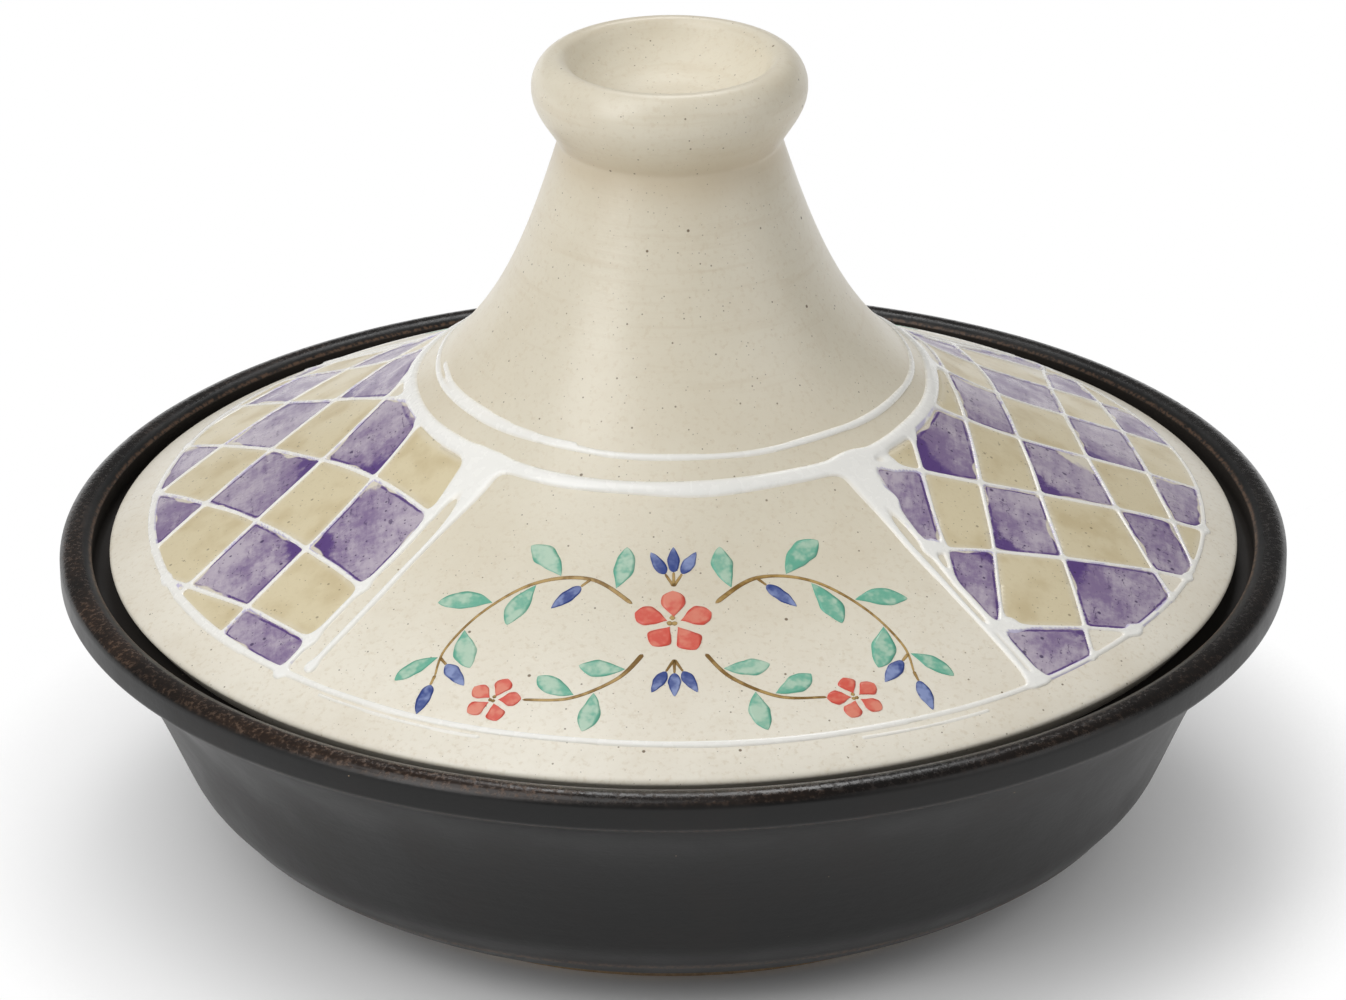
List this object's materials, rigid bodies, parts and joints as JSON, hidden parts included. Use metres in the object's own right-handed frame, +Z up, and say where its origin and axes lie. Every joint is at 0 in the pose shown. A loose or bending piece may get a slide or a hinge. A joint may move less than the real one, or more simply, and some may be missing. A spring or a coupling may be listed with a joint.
{
  "type": "tagine",
  "caption": "Round stoneware tagine: a shallow glazed dish with a ledge inside its lip, and a hollow cone lid that lifts off by a cup-shaped knob.",
  "frame": {"origin": "middle of the foot ring, on the surface that the dish stands on", "axes": "+Z up along the axis that both pieces are thrown on, -Y towards the painted panel"},
  "size_m": [0.2514, 0.2514, 0.1669],
  "materials": {
    "black_glaze": "satin black glaze on stoneware, browner where it thins over edges, bare clay under the foot",
    "cream_glaze": "glossy cream glaze with iron specks, raised white slip lines and brushed colours"
  },
  "bodies": {
    "dish": {"base_dish": "black_glaze"},
    "cover": {"lid": "cream_glaze"}
  },
  "joints": [
    {"name": "lid_lift", "type": "slide", "parent": "dish", "child": "cover", "axis": [0, 0, 1], "range_m": [0, 0.15]}
  ]
}
